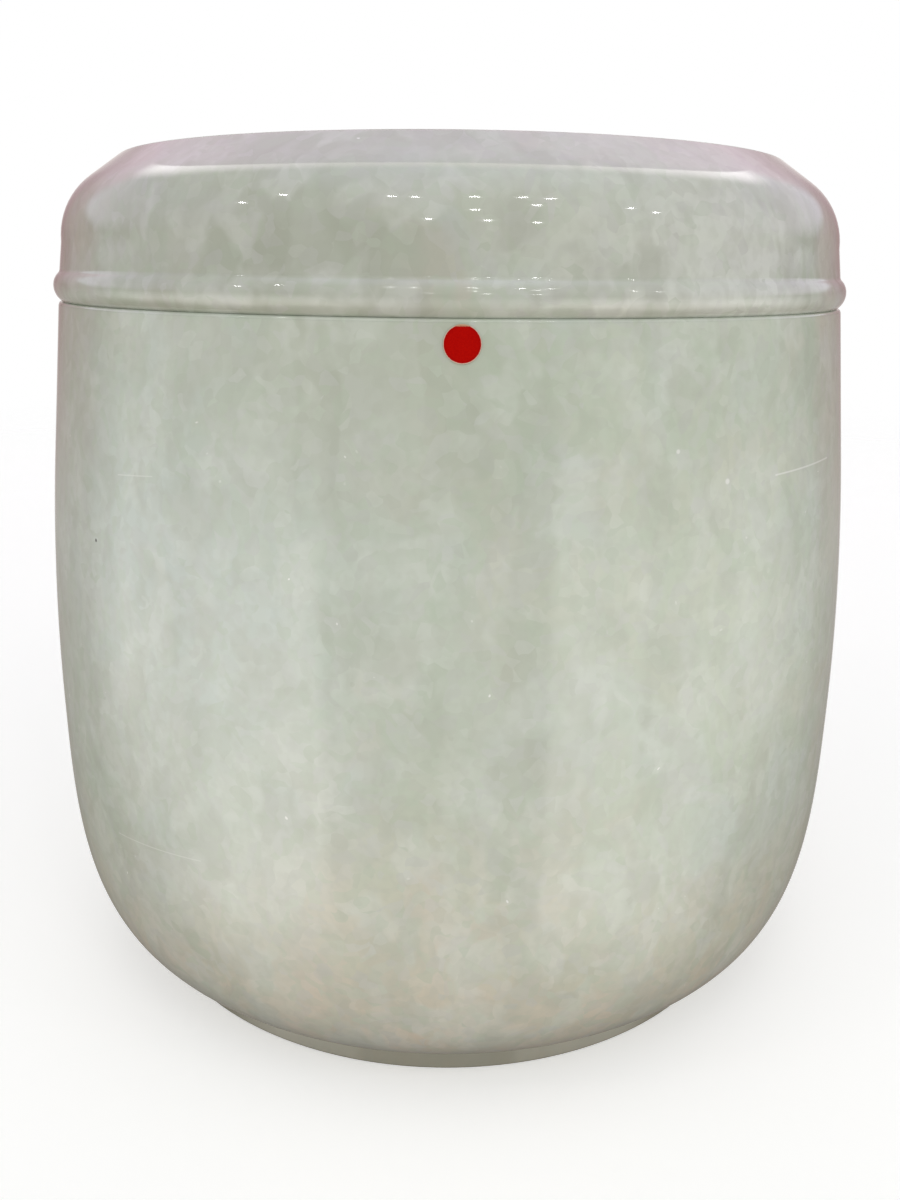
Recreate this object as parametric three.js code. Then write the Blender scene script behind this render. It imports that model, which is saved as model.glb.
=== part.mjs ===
// Stone urn with a lift-off lid, both turned in pale polished stone.
// Millimetres, +Z up, origin at the centre of the underside, front of the urn towards -Y.

import * as THREE from 'three';

// Driving dimensions of the vessel
const BELLY_RADIUS = 120;
const BELLY_HEIGHT = 85;
const RIM_HEIGHT = 197;
const TAPER_START = 157;
const TAPER_SLOPE = 0.112;
const LOWER_CURVE_WIDTH = 37.5;
const LOWER_CURVE_HEIGHT = 78.5;
const LOWER_CURVE_POWER = 3.2;
const FOOT_RADIUS = 96.7;
const WALL = 15;
const FLOOR = 16;
const SOFT_EDGE = 0.8;

// Driving dimensions of the lid, heights counted from the rim that it sits on
const BEAD_RADIUS = 112.5;
const BEAD_SECTION = 4.8;
const BEAD_CENTRE = 3.9;
const COVE_SECTION = 1.6;
const BAND_RADIUS = 110.5;
const SHOULDER_START = 15.3;
const SHOULDER_RADIUS = 109.5;
const SHOULDER_SECTION = 20.2;
const SHOULDER_TURN = THREE.MathUtils.degToRad(54.4);
const LID_HEIGHT = 37.8;
const TOP_SECTION = 3;
const ROOF = 15;
const ROOF_CORNER = 12;
const REGISTER_WIDTH = 7;
const REGISTER_DEPTH = 6;
const REGISTER_CLEARANCE = 1;

// Driving dimensions of the dot on the front
const DOT_DIAMETER = 8;
const DOT_THICKNESS = 0.3;
const DOT_BELOW_RIM = 5;
const DOT_ASIDE = 2.6;
const DOT_GAP = 0.1;

// Fineness of the round stretches
const TURN_STEPS = 72;
const DOT_SIDES = 40;
const ARC_TOLERANCE = 0.08;
const OUTSIDE_STEPS = { lower: 11, upper: 5 };
const INSIDE_STEPS = { lower: 8, upper: 3 };

// Colours and finish
const BODY_COLOR = 0xbcc0b0;
const LID_COLOR = 0xb4b3a6;
const DOT_COLOR = 0xb20e06;
const STONE_ROUGHNESS = 0.16;
const DOT_ROUGHNESS = 0.35;

// Radius of the outer wall above the belly: a shallow arc that runs into a straight inward taper
function upperWallRadius(height) {
  const rise = height - BELLY_HEIGHT;
  const arcRise = TAPER_START - BELLY_HEIGHT;
  if (rise < arcRise) {
    return BELLY_RADIUS - (TAPER_SLOPE * rise * rise) / (2 * arcRise);
  }
  return BELLY_RADIUS - TAPER_SLOPE * (rise - arcRise / 2);
}

// Quarter of a superellipse below the belly, from the angle `from` up to the belly
function lowerCurve(bellyRadius, curveHeight, from, steps) {
  const power = 2 / LOWER_CURVE_POWER;
  const points = [];
  for (let i = 0; i < steps; i += 1) {
    const angle = from * (1 - i / steps);
    const radius = bellyRadius - LOWER_CURVE_WIDTH * (1 - Math.cos(angle) ** power);
    const height = BELLY_HEIGHT - curveHeight * Math.sin(angle) ** power;
    points.push(new THREE.Vector2(radius, height));
  }
  return points;
}

// Outer wall above the belly, moved in by `inset`, from the belly up to `top`
function upperCurve(inset, top, steps) {
  const points = [];
  for (let i = 0; i <= steps; i += 1) {
    const height = THREE.MathUtils.lerp(BELLY_HEIGHT, TAPER_START, i / steps);
    points.push(new THREE.Vector2(upperWallRadius(height) - inset, height));
  }
  points.push(new THREE.Vector2(upperWallRadius(top) - inset, top));
  return points;
}

// Arc of a section about (radius, height), angles counted from the outward direction
function arc(radius, height, section, from, to) {
  const stepAngle = 2 * Math.acos(1 - ARC_TOLERANCE / section);
  const steps = Math.ceil(Math.abs(to - from) / stepAngle);
  const points = [];
  for (let i = 0; i <= steps; i += 1) {
    const angle = THREE.MathUtils.lerp(from, to, i / steps);
    points.push(new THREE.Vector2(radius + section * Math.cos(angle), height + section * Math.sin(angle)));
  }
  return points;
}

// Closed solid turned about the vertical axis from a profile that runs anticlockwise
function turned(profile) {
  const geometry = new THREE.LatheGeometry(profile, TURN_STEPS);
  geometry.rotateX(Math.PI / 2);
  return geometry;
}

function material(color, roughness) {
  return new THREE.MeshStandardMaterial({ color, roughness, metalness: 0 });
}

// Vessel: flat underside, low foot, barrel wall, flat rim, hollow inside with a flat floor
function buildBody() {
  const footDrop = 1 - (BELLY_RADIUS - FOOT_RADIUS) / LOWER_CURVE_WIDTH;
  const footAngle = Math.acos(footDrop ** (LOWER_CURVE_POWER / 2));
  const outerRim = upperWallRadius(RIM_HEIGHT);
  const innerRim = outerRim - WALL;
  const outside = [
    ...lowerCurve(BELLY_RADIUS, LOWER_CURVE_HEIGHT, footAngle, OUTSIDE_STEPS.lower),
    ...upperCurve(0, RIM_HEIGHT - SOFT_EDGE, OUTSIDE_STEPS.upper),
  ];
  const inside = [
    ...lowerCurve(BELLY_RADIUS - WALL, BELLY_HEIGHT - FLOOR, Math.PI / 2, INSIDE_STEPS.lower),
    ...upperCurve(WALL, RIM_HEIGHT - SOFT_EDGE, INSIDE_STEPS.upper),
  ].reverse();
  const profile = [
    new THREE.Vector2(0, 0),
    new THREE.Vector2(FOOT_RADIUS - SOFT_EDGE, 0),
    new THREE.Vector2(FOOT_RADIUS, SOFT_EDGE),
    ...outside,
    new THREE.Vector2(outerRim - SOFT_EDGE, RIM_HEIGHT),
    new THREE.Vector2(innerRim + SOFT_EDGE, RIM_HEIGHT),
    ...inside,
    new THREE.Vector2(0, FLOOR),
  ];
  const body = new THREE.Mesh(turned(profile), material(BODY_COLOR, STONE_ROUGHNESS));
  body.name = 'urn_body';
  return body;
}

// Lid: register ring that drops into the mouth, bead, band, shoulder, sloping collar, flat top
function buildLid() {
  const beadAxis = BEAD_RADIUS - BEAD_SECTION;
  const seatAngle = -Math.asin(BEAD_CENTRE / BEAD_SECTION);
  const coveAxis = BAND_RADIUS + COVE_SECTION;
  const coveReach = BEAD_SECTION + COVE_SECTION;
  const coveAngle = Math.acos((coveAxis - beadAxis) / coveReach);
  const coveHeight = BEAD_CENTRE + coveReach * Math.sin(coveAngle);
  const shoulderAxis = SHOULDER_RADIUS - SHOULDER_SECTION;
  const shoulderEnd = shoulderAxis + SHOULDER_SECTION * Math.cos(SHOULDER_TURN);
  const shoulderTop = SHOULDER_START + SHOULDER_SECTION * Math.sin(SHOULDER_TURN);
  const topHeight = LID_HEIGHT - TOP_SECTION;
  const collarRise = topHeight + TOP_SECTION * Math.sin(SHOULDER_TURN) - shoulderTop;
  const collarEnd = shoulderEnd - collarRise * Math.tan(SHOULDER_TURN);
  const topAxis = collarEnd - TOP_SECTION * Math.cos(SHOULDER_TURN);
  const registerRadius = upperWallRadius(RIM_HEIGHT) - WALL - REGISTER_CLEARANCE;
  const hollowRadius = registerRadius - REGISTER_WIDTH;
  const hollowAxis = hollowRadius - ROOF_CORNER;
  const hollowTop = LID_HEIGHT - ROOF - ROOF_CORNER;
  const profile = [
    new THREE.Vector2(0, LID_HEIGHT - ROOF),
    ...arc(hollowAxis, hollowTop, ROOF_CORNER, Math.PI / 2, 0),
    new THREE.Vector2(hollowRadius, -REGISTER_DEPTH),
    new THREE.Vector2(registerRadius - SOFT_EDGE, -REGISTER_DEPTH),
    new THREE.Vector2(registerRadius, SOFT_EDGE - REGISTER_DEPTH),
    new THREE.Vector2(registerRadius, 0),
    ...arc(beadAxis, BEAD_CENTRE, BEAD_SECTION, seatAngle, coveAngle),
    ...arc(coveAxis, coveHeight, COVE_SECTION, Math.PI + coveAngle, Math.PI).slice(1),
    ...arc(shoulderAxis, SHOULDER_START, SHOULDER_SECTION, 0, SHOULDER_TURN),
    ...arc(topAxis, topHeight, TOP_SECTION, SHOULDER_TURN, Math.PI / 2),
    new THREE.Vector2(0, LID_HEIGHT),
  ];
  const lid = new THREE.Mesh(turned(profile), material(LID_COLOR, STONE_ROUGHNESS));
  lid.name = 'lid';
  lid.position.z = RIM_HEIGHT;
  return lid;
}

// Thin round dot that lies on the tapering wall just under the rim
function buildDot() {
  const height = RIM_HEIGHT - DOT_BELOW_RIM;
  const lean = Math.atan(TAPER_SLOPE);
  const reach = upperWallRadius(height) + (DOT_GAP + DOT_THICKNESS / 2) / Math.cos(lean);
  const geometry = new THREE.CylinderGeometry(DOT_DIAMETER / 2, DOT_DIAMETER / 2, DOT_THICKNESS, DOT_SIDES);
  geometry.rotateX(-lean);
  geometry.translate(0, -reach, height);
  const dot = new THREE.Mesh(geometry, material(DOT_COLOR, DOT_ROUGHNESS));
  dot.name = 'red_dot';
  dot.rotation.z = Math.asin(DOT_ASIDE / reach);
  return dot;
}

const urn = new THREE.Group();
urn.add(buildBody(), buildLid(), buildDot());

export default urn;
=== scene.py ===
"""Looks of a stone urn: polished pale stone vessel, lift-off lid and a red dot, in a plain pale studio."""

import math

import bpy
from mathutils import Matrix, Vector, noise


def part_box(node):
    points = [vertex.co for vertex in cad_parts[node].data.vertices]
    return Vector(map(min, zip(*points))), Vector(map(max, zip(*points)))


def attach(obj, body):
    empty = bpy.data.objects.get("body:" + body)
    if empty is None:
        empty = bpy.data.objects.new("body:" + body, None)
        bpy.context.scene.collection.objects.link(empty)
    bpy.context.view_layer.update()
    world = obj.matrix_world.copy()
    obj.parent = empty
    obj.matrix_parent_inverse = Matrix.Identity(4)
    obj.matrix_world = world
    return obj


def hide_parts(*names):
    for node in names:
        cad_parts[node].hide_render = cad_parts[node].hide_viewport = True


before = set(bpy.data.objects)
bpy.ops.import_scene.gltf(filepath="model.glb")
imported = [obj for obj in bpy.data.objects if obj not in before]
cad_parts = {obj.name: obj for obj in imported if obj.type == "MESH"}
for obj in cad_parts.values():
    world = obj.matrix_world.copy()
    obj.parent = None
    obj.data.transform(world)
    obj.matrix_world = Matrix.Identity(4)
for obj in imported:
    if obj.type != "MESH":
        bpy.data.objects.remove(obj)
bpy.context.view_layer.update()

# Sizes that the frame gives, in metres
MM = 0.001
_, body_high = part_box("urn_body")
lid_low, lid_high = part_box("lid")
dot_low, dot_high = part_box("red_dot")
BELLY_RADIUS = body_high.x
RIM_HEIGHT = body_high.z
BEAD_RADIUS = lid_high.x
LID_HEIGHT = lid_high.z - RIM_HEIGHT
TOP_HEIGHT = lid_high.z
REGISTER_DEPTH = RIM_HEIGHT - lid_low.z
DOT_RADIUS = (dot_high.x - dot_low.x) / 2
DOT_CENTRE = (dot_low + dot_high) / 2

# Vessel
BELLY_HEIGHT = 85 * MM
TAPER_START = 157 * MM
TAPER_SLOPE = 0.112
LOWER_CURVE_WIDTH = 37.5 * MM
LOWER_CURVE_HEIGHT = 78.5 * MM
LOWER_CURVE_POWER = 3.2
FOOT_RADIUS = 96.7 * MM
FOOT_HEIGHT = 7.6 * MM
WALL = 15 * MM
FLOOR = 16 * MM
SOFT_EDGE = 0.8 * MM

# Lid, heights counted from the rim
BEAD_SECTION = 4.8 * MM
BEAD_CENTRE = 3.9 * MM
COVE_SECTION = 1.6 * MM
BAND_RADIUS = 110.5 * MM
SHOULDER_START = 15.3 * MM
SHOULDER_RADIUS = 109.5 * MM
SHOULDER_SECTION = 20.2 * MM
SHOULDER_TURN = math.radians(54.4)
TOP_SECTION = 3 * MM
ROOF = 15 * MM
ROOF_CORNER = 12 * MM
REGISTER_WIDTH = 7 * MM
REGISTER_CLEARANCE = 1 * MM

# Dot
DOT_THICKNESS = 0.26 * MM
DOT_LIFT = 0.12 * MM
DOT_SOFT_EDGE = 0.08 * MM

# Fineness of the meshes, their sharp edges, and the faint waviness of hand polishing
TURN_STEPS = 288
ARC_STEP = math.radians(5)
OUTSIDE_STEP = 2.5 * MM
INSIDE_STEP = 6 * MM
SHARP_ANGLE = math.radians(32)
WAVE_DEPTH = 0.02 * MM
WAVE_LENGTH = 26 * MM

# Camera as it stood for the photo
PHOTO_SIZE = (900, 1200)
FOCAL_PIXELS = 1091.3
CAMERA_DISTANCE = 340.8 * MM
CAMERA_HEIGHT = 207.8 * MM
CAMERA_PITCH = math.radians(17.15)
CAMERA_YAW = math.radians(-0.155)
CAMERA_ROLL = math.radians(0.6)
SENSOR_MM = 36
CLIP_START = 10 * MM


# Profiles

def upper_wall_radius(height):
    """Radius of the outer wall above the belly: a shallow arc that runs into a straight taper."""
    rise = height - BELLY_HEIGHT
    arc_rise = TAPER_START - BELLY_HEIGHT
    if rise < arc_rise:
        return BELLY_RADIUS - TAPER_SLOPE * rise * rise / (2 * arc_rise)
    return BELLY_RADIUS - TAPER_SLOPE * (rise - arc_rise / 2)


def lower_curve(belly_radius, curve_height, start_angle, steps=36):
    """Quarter of a superellipse below the belly, from start_angle up to the belly."""
    power = 2 / LOWER_CURVE_POWER
    points = []
    for i in range(steps):
        angle = start_angle * (1 - i / steps)
        radius = belly_radius - LOWER_CURVE_WIDTH * (1 - math.cos(angle) ** power)
        height = BELLY_HEIGHT - curve_height * math.sin(angle) ** power
        points.append((radius, height))
    return points


def upper_curve(inset, top, steps=24):
    """Outer wall above the belly, moved in by inset, from the belly up to top."""
    heights = [BELLY_HEIGHT + (top - BELLY_HEIGHT) * i / steps for i in range(steps + 1)]
    return [(upper_wall_radius(height) - inset, height) for height in heights]


def arc(radius, height, section, start, end):
    """Arc of a section about (radius, height), angles counted from the outward direction."""
    steps = math.ceil(abs(end - start) / ARC_STEP)
    angles = [start + (end - start) * i / steps for i in range(steps + 1)]
    return [(radius + section * math.cos(a), height + section * math.sin(a)) for a in angles]


def divided(points, longest):
    """The same outline with no stretch longer than longest."""
    fine = [points[0]]
    for (r0, h0), (r1, h1) in zip(points, points[1:]):
        parts = max(1, math.ceil(math.hypot(r1 - r0, h1 - h0) / longest))
        fine += [(r0 + (r1 - r0) * i / parts, h0 + (h1 - h0) * i / parts) for i in range(1, parts + 1)]
    return fine


def body_profile():
    """Flat underside, low foot, barrel wall, flat rim, and the hollow down to its flat floor."""
    foot_drop = 1 - (BELLY_RADIUS - FOOT_RADIUS) / LOWER_CURVE_WIDTH
    foot_angle = math.acos(foot_drop ** (LOWER_CURVE_POWER / 2))
    outer_rim = upper_wall_radius(RIM_HEIGHT)
    inner_rim = outer_rim - WALL
    outside = [
        (0, 0),
        *arc(FOOT_RADIUS - SOFT_EDGE, SOFT_EDGE, SOFT_EDGE, -math.pi / 2, 0),
        *lower_curve(BELLY_RADIUS, LOWER_CURVE_HEIGHT, foot_angle),
        *upper_curve(0, RIM_HEIGHT - SOFT_EDGE),
        *arc(outer_rim - SOFT_EDGE, RIM_HEIGHT - SOFT_EDGE, SOFT_EDGE, 0, math.pi / 2),
    ]
    inside = [
        *arc(inner_rim + SOFT_EDGE, RIM_HEIGHT - SOFT_EDGE, SOFT_EDGE, math.pi / 2, math.pi),
        *reversed(upper_curve(WALL, RIM_HEIGHT - SOFT_EDGE)),
        *reversed(lower_curve(BELLY_RADIUS - WALL, BELLY_HEIGHT - FLOOR, math.pi / 2)),
        (0, FLOOR),
    ]
    return divided(outside, OUTSIDE_STEP) + divided(inside, INSIDE_STEP)


def lid_profile():
    """Hollow, register ring, bead, cove, band, shoulder, sloping collar and flat top."""
    bead_axis = BEAD_RADIUS - BEAD_SECTION
    seat_angle = -math.asin(BEAD_CENTRE / BEAD_SECTION)
    cove_axis = BAND_RADIUS + COVE_SECTION
    cove_reach = BEAD_SECTION + COVE_SECTION
    cove_angle = math.acos((cove_axis - bead_axis) / cove_reach)
    cove_height = BEAD_CENTRE + cove_reach * math.sin(cove_angle)
    shoulder_axis = SHOULDER_RADIUS - SHOULDER_SECTION
    shoulder_end = shoulder_axis + SHOULDER_SECTION * math.cos(SHOULDER_TURN)
    shoulder_top = SHOULDER_START + SHOULDER_SECTION * math.sin(SHOULDER_TURN)
    top_height = LID_HEIGHT - TOP_SECTION
    collar_rise = top_height + TOP_SECTION * math.sin(SHOULDER_TURN) - shoulder_top
    collar_end = shoulder_end - collar_rise * math.tan(SHOULDER_TURN)
    top_axis = collar_end - TOP_SECTION * math.cos(SHOULDER_TURN)
    register_radius = upper_wall_radius(RIM_HEIGHT) - WALL - REGISTER_CLEARANCE
    hollow_radius = register_radius - REGISTER_WIDTH
    hollow_axis = hollow_radius - ROOF_CORNER
    hollow_top = LID_HEIGHT - ROOF - ROOF_CORNER
    inside = [
        (0, LID_HEIGHT - ROOF),
        *arc(hollow_axis, hollow_top, ROOF_CORNER, math.pi / 2, 0),
        *arc(hollow_radius + SOFT_EDGE, SOFT_EDGE - REGISTER_DEPTH, SOFT_EDGE, math.pi, 1.5 * math.pi),
        *arc(register_radius - SOFT_EDGE, SOFT_EDGE - REGISTER_DEPTH, SOFT_EDGE, -math.pi / 2, 0),
        (register_radius, 0),
    ]
    outside = [
        *arc(bead_axis, BEAD_CENTRE, BEAD_SECTION, seat_angle, cove_angle),
        *arc(cove_axis, cove_height, COVE_SECTION, math.pi + cove_angle, math.pi)[1:],
        *arc(shoulder_axis, SHOULDER_START, SHOULDER_SECTION, 0, SHOULDER_TURN),
        *arc(top_axis, top_height, TOP_SECTION, SHOULDER_TURN, math.pi / 2),
        (0, LID_HEIGHT),
    ]
    profile = divided(inside, INSIDE_STEP) + divided(outside, OUTSIDE_STEP)
    return [(radius, RIM_HEIGHT + height) for radius, height in profile]


# Meshes

def wave(x, y, z):
    """Faint waviness of a surface polished by hand."""
    return WAVE_DEPTH * noise.noise(Vector((x, y, z)) / WAVE_LENGTH)


def turned(name, profile):
    """Closed mesh turned about the vertical axis from a profile that starts and ends on it."""
    rings = profile[1:-1]
    vertices = [(0, 0, profile[0][1])]
    for radius, height in rings:
        for i in range(TURN_STEPS):
            angle = math.tau * i / TURN_STEPS
            x = radius * math.sin(angle)
            y = -radius * math.cos(angle)
            grow = 1 + wave(x, y, height) / radius
            vertices.append((x * grow, y * grow, height))
    vertices.append((0, 0, profile[-1][1]))
    last = len(vertices) - 1
    faces = []
    for i in range(TURN_STEPS):
        j = (i + 1) % TURN_STEPS
        faces.append((0, 1 + j, 1 + i))
        for k in range(len(rings) - 1):
            low = 1 + k * TURN_STEPS
            high = low + TURN_STEPS
            faces.append((low + i, low + j, high + j, high + i))
        top = 1 + (len(rings) - 1) * TURN_STEPS
        faces.append((top + i, top + j, last))
    return smooth_piece(name, vertices, faces)


def smooth_piece(name, vertices, faces):
    """Mesh object with smooth shading, kept sharp at real edges."""
    mesh = bpy.data.meshes.new(name)
    mesh.from_pydata(vertices, [], faces)
    mesh.validate()
    mesh.shade_smooth()
    mesh.set_sharp_from_angle(angle=SHARP_ANGLE)
    piece = bpy.data.objects.new(name, mesh)
    bpy.context.scene.collection.objects.link(piece)
    return piece


def dot_piece(name, rings=10, sides=72):
    """Thin round dot that follows the curve of the wall, with a soft edge."""
    turn = math.atan2(DOT_CENTRE.x, -DOT_CENTRE.y)

    def on_wall(across, up, out):
        height = DOT_CENTRE.z + up * math.cos(math.atan(TAPER_SLOPE))
        radius = upper_wall_radius(height) + DOT_LIFT + out
        angle = turn + across / radius
        return (radius * math.sin(angle), -radius * math.cos(angle), height)

    section = [(DOT_RADIUS * k / rings, DOT_THICKNESS) for k in range(1, rings)]
    section += [(DOT_RADIUS - DOT_SOFT_EDGE, DOT_THICKNESS), (DOT_RADIUS, DOT_THICKNESS - DOT_SOFT_EDGE)]
    section += [(DOT_RADIUS, 0)]
    section += [(DOT_RADIUS * k / rings, 0) for k in range(rings - 1, 0, -1)]
    vertices = [on_wall(0, 0, DOT_THICKNESS)]
    for reach, out in section:
        for i in range(sides):
            angle = math.tau * i / sides
            vertices.append(on_wall(reach * math.cos(angle), reach * math.sin(angle), out))
    vertices.append(on_wall(0, 0, 0))
    last = len(vertices) - 1
    faces = []
    for i in range(sides):
        j = (i + 1) % sides
        faces.append((0, 1 + i, 1 + j))
        for k in range(len(section) - 1):
            inner = 1 + k * sides
            outer = inner + sides
            faces.append((inner + i, outer + i, outer + j, inner + j))
        under = 1 + (len(section) - 1) * sides
        faces.append((under + i, last, under + j))
    return smooth_piece(name, vertices, faces)


# Shader helpers

def node(tree, kind, inputs=None, **settings):
    """New shader node with its settings, and with each input set to a value or linked to a socket."""
    made = tree.nodes.new("ShaderNode" + kind)
    for name, value in settings.items():
        setattr(made, name, value)
    for key, value in (inputs or {}).items():
        if isinstance(value, bpy.types.NodeSocket):
            tree.links.new(value, made.inputs[key])
        else:
            made.inputs[key].default_value = value
    return made


def maths(tree, operation, *values, clamp=False):
    """Result of arithmetic on numbers or sockets."""
    return node(tree, "Math", dict(enumerate(values)), operation=operation, use_clamp=clamp).outputs[0]


def vectors(tree, operation, *values):
    """Result of arithmetic on vectors, a number where the operation gives one."""
    made = node(tree, "VectorMath", dict(enumerate(values)), operation=operation)
    return made.outputs["Value" if operation in ("LENGTH", "DISTANCE", "DOT_PRODUCT") else "Vector"]


def step_up(tree, value, low, high, bottom=0.0, top=1.0):
    """Smooth step of a value between low and high."""
    inputs = {"Value": value, "From Min": low, "From Max": high, "To Min": bottom, "To Max": top}
    return node(tree, "MapRange", inputs, interpolation_type="SMOOTHSTEP").outputs["Result"]


def tint(tree, factor, first, second, blend="MIX"):
    """Colour first, mixed towards second by factor."""
    made = node(tree, "Mix", {0: factor, 6: first, 7: second}, data_type="RGBA", blend_type=blend)
    return made.outputs[2]


def layer(tree, below, value, start, full, strength, colour):
    """Colour below, covered more and more by another colour as a value goes from start to full."""
    return tint(tree, step_up(tree, value, start, full, 0, strength), below, colour)


def clouds(tree, place, size, detail, roughness=0.5):
    """Noise whose patches are about size across."""
    inputs = {"Vector": place, "Scale": 1 / size, "Detail": detail, "Roughness": roughness}
    return node(tree, "TexNoise", inputs).outputs["Fac"]


def stretched(tree, place, factors, offset=(0, 0, 0)):
    """Places scaled by factors and then moved by offset."""
    inputs = {"Vector": place, "Location": offset, "Scale": factors}
    return node(tree, "Mapping", inputs).outputs["Vector"]


def new_material(name):
    """Empty node material with its shader and output."""
    material = bpy.data.materials.new(name)
    material.use_nodes = True
    tree = material.node_tree
    tree.nodes.clear()
    shader = node(tree, "BsdfPrincipled")
    node(tree, "OutputMaterial", {"Surface": shader.outputs["BSDF"]})
    place = node(tree, "TexCoord").outputs["Object"]
    return material, tree, shader, place


# Stone

def wall_point(turn_deg, height):
    """Point on the outer wall, by its turn from the front towards +X and its height."""
    turn = math.radians(turn_deg)
    if height >= BELLY_HEIGHT:
        radius = upper_wall_radius(height)
    else:
        drop = (BELLY_HEIGHT - height) / LOWER_CURVE_HEIGHT
        share = (1 - drop ** LOWER_CURVE_POWER) ** (1 / LOWER_CURVE_POWER)
        radius = BELLY_RADIUS - LOWER_CURVE_WIDTH * (1 - share)
    return (radius * math.sin(turn), -radius * math.cos(turn), height)


def warped(tree, place, size, amount):
    """Places pushed about by noise, so that what is drawn on them loses its straight edges."""
    pushes = node(tree, "TexNoise", {"Vector": place, "Scale": 1 / size, "Detail": 1}).outputs["Color"]
    centred = vectors(tree, "SUBTRACT", pushes, (0.5, 0.5, 0.5))
    push = node(tree, "VectorMath", {0: centred, "Scale": amount}, operation="SCALE").outputs["Vector"]
    return vectors(tree, "ADD", place, push)


def blotches(tree, place, size, detail):
    """Three separate values that change softly from one blotch of the stone to the next."""
    cells = node(tree, "TexNoise", {"Vector": place, "Scale": 1 / size, "Detail": detail})
    return list(node(tree, "SeparateColor", {0: cells.outputs["Color"]}).outputs)[:3]


def crystals(tree, place, size):
    """Three values that are even within a crystal and differ between crystals, and how far its middle is."""
    cells = node(tree, "TexVoronoi", {"Vector": place, "Scale": 1 / size})
    values = list(node(tree, "SeparateColor", {0: cells.outputs["Color"]}).outputs)[:3]
    return (*values, cells.outputs["Distance"])


def unrolled(tree, place):
    """Places by their turn from the front and their height, as if the wall were rolled out flat."""
    across, away, height = list(node(tree, "SeparateXYZ", {0: place}).outputs)
    turn = maths(tree, "ARCTAN2", across, maths(tree, "MULTIPLY", away, -1))
    run = maths(tree, "MULTIPLY", turn, BELLY_RADIUS)
    return node(tree, "CombineXYZ", {0: run, 1: height}).outputs["Vector"]


def unrolled_point(turn_deg, height):
    """Point on the wall rolled out flat, by its turn from the front and its height."""
    return Vector((math.radians(turn_deg) * BELLY_RADIUS, height, 0))


def line_gap(tree, place, start, end):
    """Distance from the straight line between two points."""
    along = end - start
    offset = vectors(tree, "SUBTRACT", place, start)
    run = vectors(tree, "DOT_PRODUCT", offset, along)
    share = maths(tree, "MULTIPLY", run, 1 / along.length_squared, clamp=True)
    nearest = node(tree, "VectorMath", {0: along, "Scale": share}, operation="SCALE").outputs["Vector"]
    return vectors(tree, "DISTANCE", offset, nearest)


# Sizes of the stone's clouds, blotches, upright smears, crystals and grit
CLOUD_SIZE = 26 * MM
BLOTCH_SIZE = 12 * MM
SMEAR_SIZE = 13 * MM
CRYSTAL_SIZE = 3 * MM
GRIT_SIZE = 2.6 * MM
BLOTCH_STRETCH = (1, 1, 0.75)
SMEAR_STRETCH = (1, 1, 0.2)
# Noise that frays their edges, coarse and fine, as its size and how far it pushes
COARSE_FRAY = (24 * MM, 10 * MM)
FINE_FRAY = (5 * MM, 4 * MM)

# Layers of colour as (noise, value where it starts, value where it is full, strength, tint)
CLOUD_LAYERS = [
    ("blue", 0.47, 0.62, 0.65, "blue"),
    ("brown", 0.48, 0.62, 0.65, "brown"),
    ("cream", 0.50, 0.64, 0.60, "cream"),
    ("green", 0.48, 0.60, 0.60, "green"),
]
BLOTCH_LAYERS = [
    ("light", 0.48, 0.62, 0.44, "white"),
    ("dim", 0.48, 0.64, 0.40, "dark"),
]
CRYSTAL_LAYERS = [
    ("smears", 0.52, 0.60, 0.20, "white"),
    ("pale", 0.5, 1.0, 0.22, "white"),
    ("dull", 0.5, 1.0, 0.22, "dark"),
    ("hue", 0.6, 1.0, 0.35, "green"),
    ("hue", 0.4, 0.0, 0.35, "violet"),
]
GRIT_LAYERS = [
    ("grit", 0.44, 0.66, 0.16, "dark"),
]
# Beige tone near the ground, and painted shade that darkens the foot, each as heights where it starts and is
# full, and its strength
BEIGE_FADE = (75 * MM, 5 * MM, 0.8)
FOOT_SHADE_FADE = (FOOT_HEIGHT, FOOT_HEIGHT - 1 * MM, 0.85)
# White flecks: how pale a crystal has to be, and how near its middle
FLECK_CRYSTALS = (0.965, 1)
FLECK_REACH = (0.16, 0.08)
# Share of the width of a scratch, and of the reach of a spot, that has its full strength
SCRATCH_CORE = 0.3
SPOT_CORE = 0.4
# Gloss: polished, smoothest on the light blotches, and honed on the flat top of the lid
STONE_IOR = 1.52
POLISH_SPREAD = (0.2, 0.8)
POLISH_ROUGHNESS = (0.075, 0.045)
HONED_FADE = (TOP_HEIGHT - 0.5 * MM, TOP_HEIGHT - 0.2 * MM)
HONED_ROUGHNESS = 0.42


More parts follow.
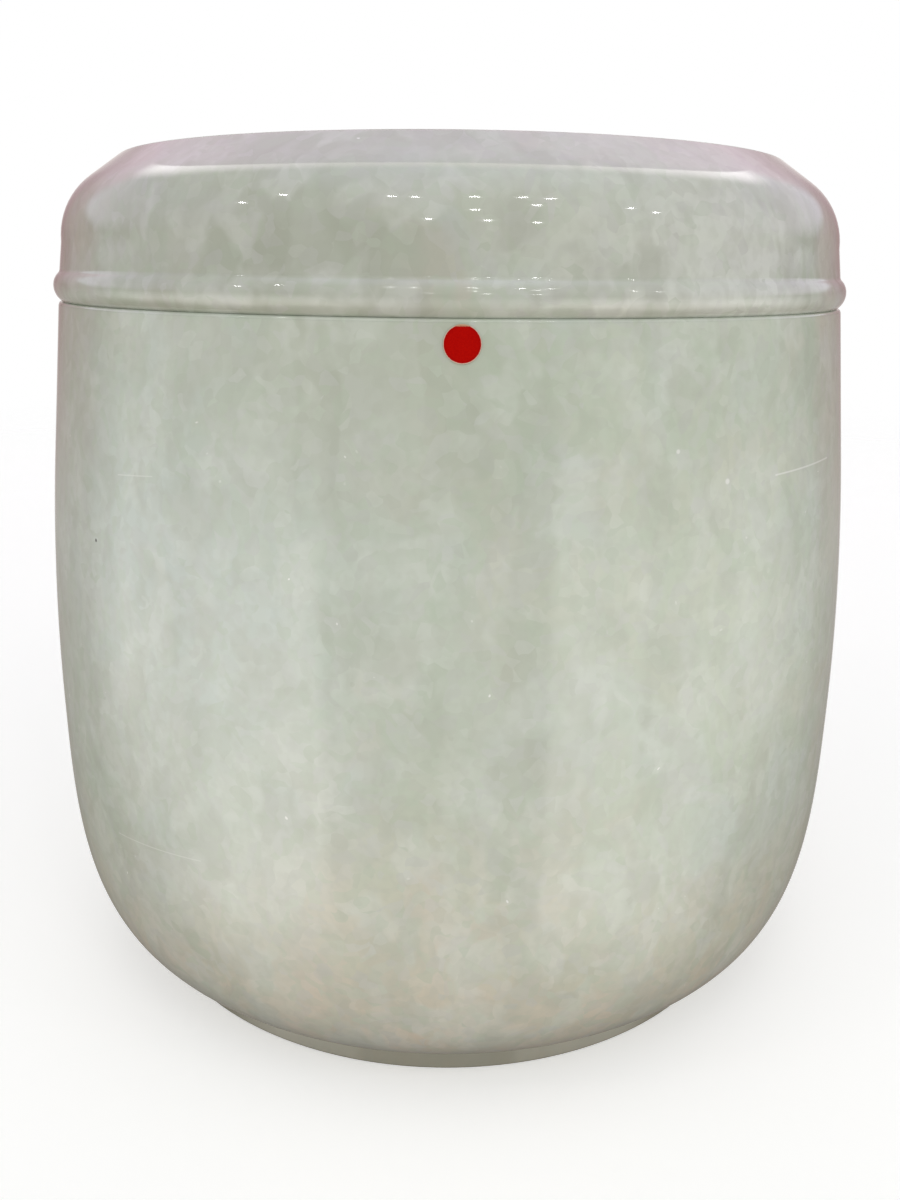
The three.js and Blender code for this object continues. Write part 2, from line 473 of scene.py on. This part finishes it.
def stone_material(name, tints, offset, contrast, zones=(), scratches=(), spots=()):
    """Polished pale stone: soft colours, crystals, smears, grit, white flecks and a few marks, with painted
    shade on the foot.
    """
    material, tree, shader, place = new_material(name)
    moved = stretched(tree, place, (1, 1, 1), offset)
    loose = warped(tree, moved, *COARSE_FRAY)
    ragged = warped(tree, loose, *FINE_FRAY)
    blue, brown, cream = blotches(tree, loose, CLOUD_SIZE, detail=1)
    light, green, dim = blotches(tree, stretched(tree, ragged, BLOTCH_STRETCH), BLOTCH_SIZE, detail=2)
    pale, dull, hue, middle = crystals(tree, ragged, CRYSTAL_SIZE)
    noises = {
        "blue": blue, "brown": brown, "cream": cream,
        "light": light, "green": green, "dim": dim,
        "pale": pale, "dull": dull, "hue": hue,
        "smears": clouds(tree, stretched(tree, loose, SMEAR_STRETCH), SMEAR_SIZE, detail=1),
        "grit": clouds(tree, moved, GRIT_SIZE, detail=1),
    }
    height = node(tree, "SeparateXYZ", {0: place}).outputs["Z"]
    loose_height = node(tree, "SeparateXYZ", {0: loose}).outputs["Z"]
    flat = unrolled(tree, place)

    def layered(below, layers, boost=1):
        for source, start, full, strength, tone in layers:
            below = layer(tree, below, noises[source], start, full, strength * boost, tints[tone])
        return below

    colour = layered(tints["stone"], CLOUD_LAYERS, contrast)
    for centre, reach, tone, strength in zones:
        gap = vectors(tree, "DISTANCE", loose, Vector(centre) + Vector(offset))
        colour = layer(tree, colour, gap, reach, 0, strength, tints[tone])
    colour = layer(tree, colour, loose_height, *BEIGE_FADE, tints["beige"])
    colour = layered(colour, BLOTCH_LAYERS, contrast)
    colour = layered(colour, CRYSTAL_LAYERS)
    palest = step_up(tree, pale, *FLECK_CRYSTALS)
    fleck = maths(tree, "MULTIPLY", palest, step_up(tree, middle, *FLECK_REACH))
    colour = tint(tree, fleck, colour, tints["fleck"])
    colour = layered(colour, GRIT_LAYERS)
    # Painted shade: the foot is darkened where the urn stands on the floor
    colour = layer(tree, colour, height, *FOOT_SHADE_FADE, tints["foot"])
    for start, end, width, strength in scratches:
        gap = line_gap(tree, flat, start, end)
        colour = layer(tree, colour, gap, width, width * SCRATCH_CORE, strength, tints["fleck"])
    for centre, reach, strength, tone in spots:
        gap = vectors(tree, "DISTANCE", place, centre)
        colour = layer(tree, colour, gap, reach, reach * SPOT_CORE, strength, tints[tone])

    polish = step_up(tree, light, *POLISH_SPREAD, *POLISH_ROUGHNESS)
    honed = step_up(tree, height, *HONED_FADE, 0, HONED_ROUGHNESS)
    tree.links.new(colour, shader.inputs["Base Color"])
    tree.links.new(maths(tree, "ADD", polish, honed), shader.inputs["Roughness"])
    shader.inputs["IOR"].default_value = STONE_IOR
    return material


# Paper of the dot: two reds of its fibres, and how rough and raised they are
FIBRE_SIZE = 0.35 * MM
FIBRE_SPREAD = (0.3, 0.7)
FIBRE_REDS = ((0.40, 0.0015, 0.0006, 1), (0.46, 0.003, 0.001, 1))
FIBRE_ROUGHNESS = (0.5, 0.62)
FIBRE_RELIEF = {"Strength": 0.08, "Distance": 0.05 * MM}
PAPER_GLOSS = 0.02
# Darker rim, pale cut edge and painted highlight along the top of the dot, each as where it starts and is
# full, and its strength
DOT_RIM = (0.33, 0.001, 0.0005, 1)
DOT_RIM_FADE = (0.8 * DOT_RADIUS, 0.9 * DOT_RADIUS, 0.5)
DOT_EDGE = (0.66, 0.50, 0.40, 1)
DOT_EDGE_FADE = (DOT_RADIUS - 0.14 * MM, DOT_RADIUS - 0.01 * MM, 1)
DOT_EDGE_FRAY = 0.15 * MM
DOT_TOP_HIGHLIGHT = (0.55, 0.36, 0.22, 1)
DOT_TOP_HIGHLIGHT_FADE = (DOT_RADIUS - 0.35 * MM, DOT_RADIUS - 0.05 * MM, 0.75)
DOT_TOP_HIGHLIGHT_FRAY = 0.5 * MM


def dot_material():
    """Red paper dot: matt, with a darker rim, a pale cut edge and a painted highlight along its top."""
    material, tree, shader, place = new_material("red_paper")
    offset = vectors(tree, "SUBTRACT", place, DOT_CENTRE)
    reach = vectors(tree, "LENGTH", offset)
    up = node(tree, "SeparateXYZ", {0: offset}).outputs["Z"]
    fibres = clouds(tree, place, FIBRE_SIZE, detail=3, roughness=0.6)
    colour = tint(tree, step_up(tree, fibres, *FIBRE_SPREAD), *FIBRE_REDS)
    colour = layer(tree, colour, reach, *DOT_RIM_FADE, DOT_RIM)
    ragged = maths(tree, "MULTIPLY_ADD", fibres, DOT_EDGE_FRAY, reach)
    colour = layer(tree, colour, ragged, *DOT_EDGE_FADE, DOT_EDGE)
    # Painted highlight: the top edge of the dot is paler, where light catches it
    top_highlight = maths(tree, "MULTIPLY_ADD", fibres, DOT_TOP_HIGHLIGHT_FRAY, up)
    colour = layer(tree, colour, top_highlight, *DOT_TOP_HIGHLIGHT_FADE, DOT_TOP_HIGHLIGHT)
    relief = node(tree, "Bump", {"Height": fibres, **FIBRE_RELIEF}).outputs["Normal"]
    tree.links.new(colour, shader.inputs["Base Color"])
    tree.links.new(step_up(tree, fibres, *FIBRE_SPREAD, *FIBRE_ROUGHNESS), shader.inputs["Roughness"])
    tree.links.new(relief, shader.inputs["Normal"])
    shader.inputs["Specular IOR Level"].default_value = PAPER_GLOSS
    return material


# Tints of the stone. The lid is a little darker
BODY_TINTS = {
    "stone": (0.540, 0.592, 0.492, 1),
    "blue": (0.555, 0.620, 0.585, 1),
    "brown": (0.550, 0.545, 0.460, 1),
    "beige": (0.690, 0.585, 0.470, 1),
    # Dark tint of the painted shade on the foot
    "foot": (0.378, 0.360, 0.273, 1),
    "leaf": (0.575, 0.645, 0.520, 1),
    "cream": (0.610, 0.620, 0.530, 1),
    "white": (0.650, 0.690, 0.630, 1),
    "milk": (0.715, 0.765, 0.695, 1),
    "green": (0.485, 0.565, 0.450, 1),
    "violet": (0.550, 0.570, 0.545, 1),
    "dark": (0.440, 0.470, 0.395, 1),
    "shade": (0.445, 0.485, 0.400, 1),
    "fleck": (0.86, 0.87, 0.84, 1),
    "pit": (0.05, 0.05, 0.04, 1),
}
LID_SHADE = (0.90, 0.88, 0.885)
LID_TINTS = {key: (*(a * b for a, b in zip(value, LID_SHADE)), 1) for key, value in BODY_TINTS.items()}
LID_TINTS["fleck"] = BODY_TINTS["fleck"]
# Where each piece was cut from the stone, and how strongly its figure shows
BODY_OFFSET = (0, 0, 0)
LID_OFFSET = (0.4, 0.2, 0.3)
BODY_CONTRAST = 1.0
LID_CONTRAST = 1.4

# Broad areas as centre, reach, tint and strength
BODY_ZONES = [
    (wall_point(-36, 138 * MM), 95 * MM, "blue", 0.9),
    (wall_point(-32, 58 * MM), 70 * MM, "blue", 0.4),
    (wall_point(34, 132 * MM), 72 * MM, "leaf", 0.6),
    # Painted shade under the lid's bead, high on the left of the body
    (wall_point(-62, 190 * MM), 50 * MM, "shade", 0.8),
    (wall_point(-7, 48 * MM), 62 * MM, "beige", 0.4),
    # Darker patch just under the lid: partly the stone's own darker tone, partly painted shade of the lid's
    # overhang
    (wall_point(-10, 195 * MM), 64 * MM, "shade", 0.85),
    (wall_point(9, 112 * MM), 46 * MM, "shade", 0.45),
]
LID_ZONES = [
    (wall_point(34, RIM_HEIGHT + 2 * MM), 82 * MM, "milk", 1.0),
    (wall_point(-19, RIM_HEIGHT + 14 * MM), 58 * MM, "shade", 1.0),
    (wall_point(-44, RIM_HEIGHT + 14 * MM), 48 * MM, "shade", 0.6),
]
# Scratches as both ends, width and strength
BODY_SCRATCHES = [
    (unrolled_point(42, 160.8 * MM), unrolled_point(57, 161.2 * MM), 0.32 * MM, 0.55),
    (unrolled_point(-42.5, 159.2 * MM), unrolled_point(-36, 160.4 * MM), 0.22 * MM, 0.3),
    (unrolled_point(-46, 63 * MM), unrolled_point(-30, 67 * MM), 0.22 * MM, 0.3),
]
# Single spots as centre, reach, strength and tint
BODY_SPOTS = [
    (wall_point(-47.6, 141.6 * MM), 0.60 * MM, 1.0, "pit"),
    (wall_point(33.2, 161.2 * MM), 0.9 * MM, 0.7, "fleck"),
    (wall_point(26, 168.9 * MM), 0.7 * MM, 0.6, "fleck"),
]


# Pieces

def place_piece(piece, node_name, material):
    """The piece stands for its node, rides on the body and gets the given material in its slot."""
    piece.data.materials.append(material)
    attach(piece, "root")
    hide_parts(node_name)


body_marks = (BODY_ZONES, BODY_SCRATCHES, BODY_SPOTS)
body_stone = stone_material("body_stone", BODY_TINTS, BODY_OFFSET, BODY_CONTRAST, *body_marks)
lid_stone = stone_material("lid_stone", LID_TINTS, LID_OFFSET, LID_CONTRAST, LID_ZONES)
place_piece(turned("urn_body_stone", body_profile()), "urn_body", body_stone)
place_piece(turned("lid_stone", lid_profile()), "lid", lid_stone)
place_piece(dot_piece("red_dot_disc"), "red_dot", dot_material())


# Stage

WHITE = (1, 1, 1, 1)
BLACK = (0, 0, 0, 1)
# Floor, and the dark card under it
FLOOR_REACH = 1.6
FLOOR_TINT = (0.88, 0.88, 0.87, 1)
FLOOR_ROUGHNESS = 0.8
FLOOR_GLOW = 0.42
FLOOR_FADE = (0.25 * FLOOR_REACH, 0.98 * FLOOR_REACH)
CARD_RADIUS = 140 * MM
CARD_DEPTH = 2 * MM
CARD_TINT = (0.05, 0.048, 0.04, 1)

# Soft light, front wall and back wall, by height from -1, straight down, to 1, straight up
SOFT_DOME = [
    (-1.0, (0.98, 0.84, 0.72)),
    (-0.5, (1.00, 0.93, 0.86)),
    (-0.2, (0.99, 0.98, 0.96)),
    (0.3, (0.95, 0.95, 0.93)),
    (1.0, (0.78, 0.78, 0.82)),
]
FRONT_WALL = [
    (-1.0, (0.25, 0.22, 0.18)),
    (-0.8, (0.60, 0.55, 0.48)),
    (-0.6, (1.20, 1.15, 1.05)),
    (-0.3, (1.30, 1.28, 1.22)),
    (-0.1, (0.95, 0.95, 0.92)),
    (0.05, (0.50, 0.50, 0.46)),
    (0.25, (0.40, 0.40, 0.36)),
    (0.5, (0.80, 0.81, 0.72)),
    (0.8, (1.35, 1.35, 1.25)),
    (0.95, (2.20, 2.15, 2.35)),
    (1.0, (2.50, 2.45, 2.80)),
]
BACK_WALL = [
    (-1.0, (0.20, 0.18, 0.16)),
    (-0.5, (0.26, 0.24, 0.21)),
    (-0.2, (0.46, 0.42, 0.40)),
    (0.05, (0.36, 0.20, 0.22)),
    (0.3, (0.62, 0.38, 0.46)),
    (0.45, (1.20, 0.85, 1.06)),
    (0.8, (1.93, 1.53, 1.96)),
    (1.0, (2.30, 2.00, 2.50)),
]
# Share by which the soft light leans to the front
SOFT_LEAN = 0.40
# Upright bright and dark bands of the front wall, by turn in degrees from the front towards +X
WALL_BANDS = [
    (-180, 0.6), (-118, 0.6), (-108, 0.8), (-100, 1.5), (-97, 1.8), (-70, 1.9), (-66, 2.3), (-35, 2.3),
    (-31, 1.2), (-15, 1.0), (15, 1.0), (26, 1.0), (29, 2.3), (37, 2.3), (39, 1.9), (42, 2.4), (52, 2.4),
    (55, 1.9), (90, 1.9), (100, 1.4), (110, 0.8), (118, 0.6), (180, 0.6),
]
BAND_FOOT = (-0.8, -0.5)
BAND_TOP = (0.25, 0.05)
# Bright flanks of the room above eye level
FLANK_TURN = (math.radians(45), math.radians(105))
FLANK_FOOT = (0.05, 0.25)
FLANK_TOP = (0.75, 0.55)
FLANK_LIGHT = (1.15, 1.02, 1.22, 1)
# Dim sides of the room near the ground
LOW_TURN = (math.radians(65), math.radians(100))
LOW_TOP = (-0.2, -0.62)
LOW_SHADE = (0.16, 0.13, 0.10, 1)
# Edge of the back wall: upright at the sides, and an arch over the urn with a bright rim
BACK_TURN = math.radians(118)
BACK_SHIFT = math.radians(5)
BACK_LEAN = math.radians(20)
BACK_LEAN_RISE = (0.05, 0.3)
BACK_TOP = (0.65, 0.5)
BACK_SOFTNESS = math.radians(5)
ARCH_LIFT = math.radians(48.7)
ARCH_REACH = math.radians(31)
ARCH_SOFTNESS = math.radians(1)
RIM_WIDTH = math.radians(11)
RIM_FOOT = (0.48, 0.6)
RIM_LIGHT = (3.7, 3.4, 3.6, 1)
# Light from straight behind, out of the photo's sight: soft light, and a bright wall for the reflections
REAR_TURN = (math.radians(150), math.radians(172))
REAR_FOOT = (-0.7, -0.4)
REAR_TOP = (0.5, 0.2)
REAR_SOFT = (2.6, 2.6, 2.5, 1)
REAR_WALL = (1.2, 1.2, 1.15, 1)

# Ceiling lamps: distance and size in metres, power in watts, and each one's turn and height in degrees
LAMP_DISTANCE = 2.4
LAMP_SIZE = (0.08, 0.045)
LAMP_POWER = 0.5
CEILING_LAMPS = [
    (-20, 49), (-12, 49), (8, 50), (24, 49), (33, 47),
    (-6, 24), (10, 23), (23, 21), (7, 35), (26, 40),
    (55, 35), (61, 30), (-57, 45), (-65, 35),
]


def floor_disc(rings=24, sides=96):
    """Pale round floor that fades out into the white around it, seen only by the camera."""
    vertices = [(0, 0, 0)]
    for k in range(1, rings + 1):
        reach = FLOOR_REACH * k / rings
        for i in range(sides):
            angle = math.tau * i / sides
            vertices.append((reach * math.cos(angle), reach * math.sin(angle), 0))
    faces = []
    for i in range(sides):
        j = (i + 1) % sides
        faces.append((0, 1 + i, 1 + j))
        for k in range(rings - 1):
            inner = 1 + k * sides
            outer = inner + sides
            faces.append((inner + i, outer + i, outer + j, inner + j))
    floor = smooth_piece("floor", vertices, faces)
    material, tree, shader, place = new_material("floor_paint")
    shader.inputs["Base Color"].default_value = FLOOR_TINT
    shader.inputs["Roughness"].default_value = FLOOR_ROUGHNESS
    shader.inputs["Emission Color"].default_value = WHITE
    shader.inputs["Emission Strength"].default_value = FLOOR_GLOW
    reach = vectors(tree, "LENGTH", place)
    tree.links.new(step_up(tree, reach, *FLOOR_FADE, 1, 0), shader.inputs["Alpha"])
    floor.data.materials.append(material)
    floor.visible_diffuse = False
    floor.visible_glossy = False
    floor.visible_shadow = False


def shade_card(sides=96):
    """Dark disc under the floor, out of the camera's sight, that keeps light off the foot of the urn."""
    angles = [math.tau * i / sides for i in range(sides)]
    vertices = [(CARD_RADIUS * math.cos(a), CARD_RADIUS * math.sin(a), -CARD_DEPTH) for a in angles]
    card = smooth_piece("shade_card", vertices, [tuple(range(sides))])
    material, _, shader, _ = new_material("card_black")
    shader.inputs["Base Color"].default_value = CARD_TINT
    card.data.materials.append(material)
    card.visible_camera = False
    card.visible_glossy = False


def ramp(tree, value, stops):
    """Colour that changes in a straight line between stops of (place, colour), places from 0 to 1."""
    made = node(tree, "ValToRGB", {"Fac": value})
    elements = made.color_ramp.elements
    elements.remove(elements[1])
    for k, (place, colour) in enumerate(stops):
        stop = elements[0] if k == 0 else elements.new(place)
        stop.position = place
        stop.color = (*colour, 1)
    return made.outputs["Color"]


def studio_dome():
    """Soft dome for the light, a room for the reflections, and white to the camera."""
    world = bpy.data.worlds.new("studio_dome")
    bpy.context.scene.world = world
    world.use_nodes = True
    tree = world.node_tree
    tree.nodes.clear()
    view = node(tree, "TexCoord").outputs["Generated"]
    across, away, height = list(node(tree, "SeparateXYZ", {0: view}).outputs)
    turn = maths(tree, "ARCTAN2", across, maths(tree, "MULTIPLY", away, -1))
    aside = maths(tree, "ABSOLUTE", turn)
    level = maths(tree, "MULTIPLY_ADD", height, 0.5, 0.5)

    def by_height(stops):
        return ramp(tree, level, [(0.5 + 0.5 * z, colour) for z, colour in stops])

    def both(first, second):
        return maths(tree, "MULTIPLY", first, second)

    def belt(foot, top):
        return both(step_up(tree, height, *foot), step_up(tree, height, *top))

    # Front wall with its bands, dim low sides and bright flanks
    bands = [(0.5 + degrees / 360, (value,) * 3) for degrees, value in WALL_BANDS]
    banding = ramp(tree, maths(tree, "MULTIPLY_ADD", turn, 1 / math.tau, 0.5), bands)
    wall = by_height(FRONT_WALL)
    front = tint(tree, belt(BAND_FOOT, BAND_TOP), wall, tint(tree, 1.0, wall, banding, "MULTIPLY"))
    low_sides = both(step_up(tree, height, *LOW_TOP), step_up(tree, aside, *LOW_TURN))
    front = tint(tree, low_sides, front, LOW_SHADE)
    flank = both(step_up(tree, aside, *FLANK_TURN), belt(FLANK_FOOT, FLANK_TOP))
    front = tint(tree, flank, front, FLANK_LIGHT)

    # Back wall: behind its upright edges, and inside the arch
    edge = maths(tree, "MULTIPLY_ADD", step_up(tree, height, *BACK_LEAN_RISE), BACK_LEAN, BACK_TURN)
    swing = maths(tree, "ABSOLUTE", maths(tree, "SUBTRACT", turn, BACK_SHIFT))
    past = maths(tree, "SUBTRACT", swing, edge)
    behind = both(step_up(tree, past, -BACK_SOFTNESS, BACK_SOFTNESS), step_up(tree, height, *BACK_TOP))
    arch = (0, math.cos(ARCH_LIFT), math.sin(ARCH_LIFT))
    apart = maths(tree, "ARCCOSINE", vectors(tree, "DOT_PRODUCT", view, arch))
    inside = step_up(tree, apart, ARCH_REACH + ARCH_SOFTNESS, ARCH_REACH - ARCH_SOFTNESS)
    room = tint(tree, maths(tree, "MAXIMUM", behind, inside), front, by_height(BACK_WALL))

    # Bright rim just outside the arch, and the wall straight behind
    rim = both(step_up(tree, apart, ARCH_REACH + RIM_WIDTH, ARCH_REACH + ARCH_SOFTNESS),
               step_up(tree, apart, ARCH_REACH - ARCH_SOFTNESS, ARCH_REACH))
    room = tint(tree, both(rim, step_up(tree, height, *RIM_FOOT)), room, RIM_LIGHT)
    rear = both(step_up(tree, aside, *REAR_TURN), belt(REAR_FOOT, REAR_TOP))
    room = tint(tree, rear, room, REAR_WALL)

    # Soft light, brighter from the front and from straight behind, and what each kind of ray sees
    facing = maths(tree, "MULTIPLY_ADD", away, -SOFT_LEAN, 1 - SOFT_LEAN)
    dome = tint(tree, facing, BLACK, by_height(SOFT_DOME))
    soft = node(tree, "Background", {"Color": tint(tree, rear, dome, REAR_SOFT)})
    mirrored = node(tree, "Background", {"Color": room})
    white = node(tree, "Background", {"Color": WHITE})
    path = node(tree, "LightPath").outputs
    light = node(tree, "MixShader", {0: path["Is Glossy Ray"], 1: soft.outputs[0], 2: mirrored.outputs[0]})
    seen = node(tree, "MixShader", {0: path["Is Camera Ray"], 1: light.outputs[0], 2: white.outputs[0]})
    node(tree, "OutputWorld", {"Surface": seen.outputs[0]})


def ceiling_lamp(name, turn_deg, height_deg):
    """Small bright lamp in a direction from the lid, for a spark on the polished shoulder."""
    turn = math.radians(turn_deg)
    lift = math.radians(height_deg)
    flat = LAMP_DISTANCE * math.cos(lift)
    rise = LAMP_DISTANCE * math.sin(lift)
    location = Vector((flat * math.sin(turn), -flat * math.cos(turn), RIM_HEIGHT + rise))
    light = bpy.data.lights.new(name, "AREA")
    light.shape = "ELLIPSE"
    light.size, light.size_y = LAMP_SIZE
    light.energy = LAMP_POWER
    lamp = bpy.data.objects.new(name, light)
    lamp.location = location
    lamp.rotation_euler = (Vector((0, 0, RIM_HEIGHT)) - location).to_track_quat("-Z", "Y").to_euler()
    lamp.visible_camera = False
    bpy.context.scene.collection.objects.link(lamp)


def photo_camera():
    """Camera where the photo was taken from, with the photo's field of view and its slight roll."""
    camera = bpy.data.objects.new("photo_camera", bpy.data.cameras.new("photo_camera"))
    camera.data.sensor_width = SENSOR_MM
    camera.data.lens = SENSOR_MM * FOCAL_PIXELS / max(PHOTO_SIZE)
    camera.data.clip_start = CLIP_START
    turn = Matrix.Rotation(CAMERA_YAW, 4, "Z")
    tilt = Matrix.Rotation(math.pi / 2 - CAMERA_PITCH, 4, "X")
    roll = Matrix.Rotation(CAMERA_ROLL, 4, "Z")
    camera.matrix_world = Matrix.Translation((0, -CAMERA_DISTANCE, CAMERA_HEIGHT)) @ turn @ tilt @ roll
    bpy.context.scene.collection.objects.link(camera)
    bpy.context.scene.camera = camera


floor_disc()
shade_card()
studio_dome()
for number, (lamp_turn, lamp_height) in enumerate(CEILING_LAMPS):
    ceiling_lamp(f"ceiling_lamp_{number}", lamp_turn, lamp_height)
photo_camera()
bpy.context.scene.view_settings.view_transform = "Standard"
